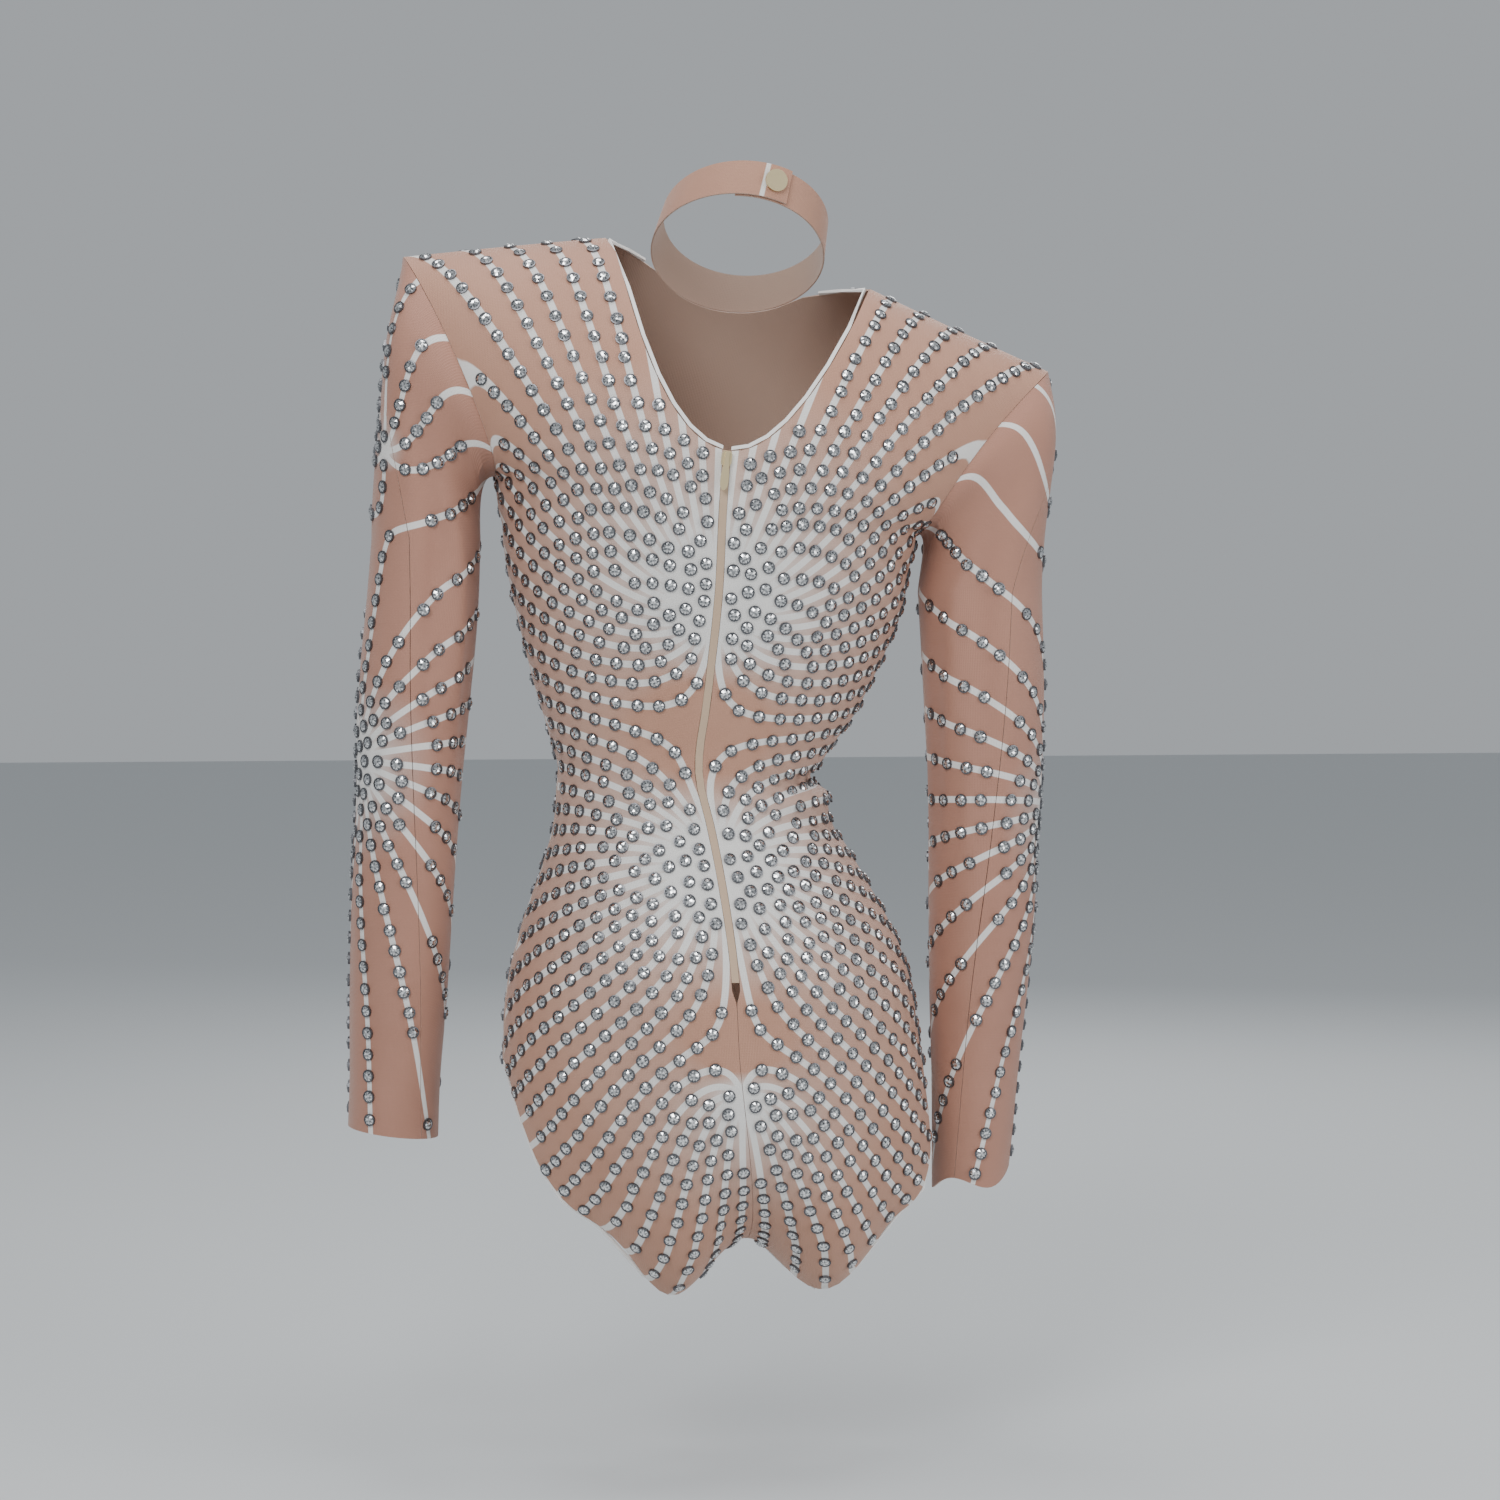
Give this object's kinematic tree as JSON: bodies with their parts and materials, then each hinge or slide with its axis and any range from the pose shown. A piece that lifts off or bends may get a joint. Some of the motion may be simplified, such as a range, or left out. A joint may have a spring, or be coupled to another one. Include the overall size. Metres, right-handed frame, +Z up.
{
  "type": "leotard",
  "caption": "Long-sleeved stretch leotard with a V back, back zip, neck strap and rows of faceted stones, hollow and standing as worn.",
  "frame": {"origin": "midway between the shoulder tips, where the wearer's shoulders carry the garment", "axes": "+Z up, the garment's front towards -Y, the wearer's left towards +X"},
  "size_m": [0.487, 0.2097, 0.7717],
  "materials": {
    "printed_knit": "matte stretch knit, nude and white print",
    "sleeve_knit": "matte stretch knit, nude and white print",
    "binding": "matte white edge binding",
    "gold_metal": "satin",
    "zip_coil": "woven tape with a fine coil"
  },
  "bodies": {
    "garment": {"front_panel": "printed_knit", "back_panel_left": "printed_knit", "back_panel_right": "printed_knit", "sleeve_left_outer": "sleeve_knit", "sleeve_left_under": "sleeve_knit", "sleeve_right_outer": "sleeve_knit", "sleeve_right_under": "sleeve_knit", "collar": "printed_knit", "leg_edge_left": "binding", "leg_edge_right": "binding", "neck_edge_left": "binding", "neck_edge_right": "binding", "collar_snap": "gold_metal", "zip_slider": "gold_metal", "zip_chain": "zip_coil"},
    "pull": {"zip_pull": "gold_metal"}
  },
  "joints": [
    {"name": "pull_hinge", "type": "hinge", "parent": "garment", "child": "pull", "pos_m": [0.0113, 0.10203, -0.09869], "axis": [0.9906, 0, 0.1366], "range_deg": [0, 100]}
  ]
}
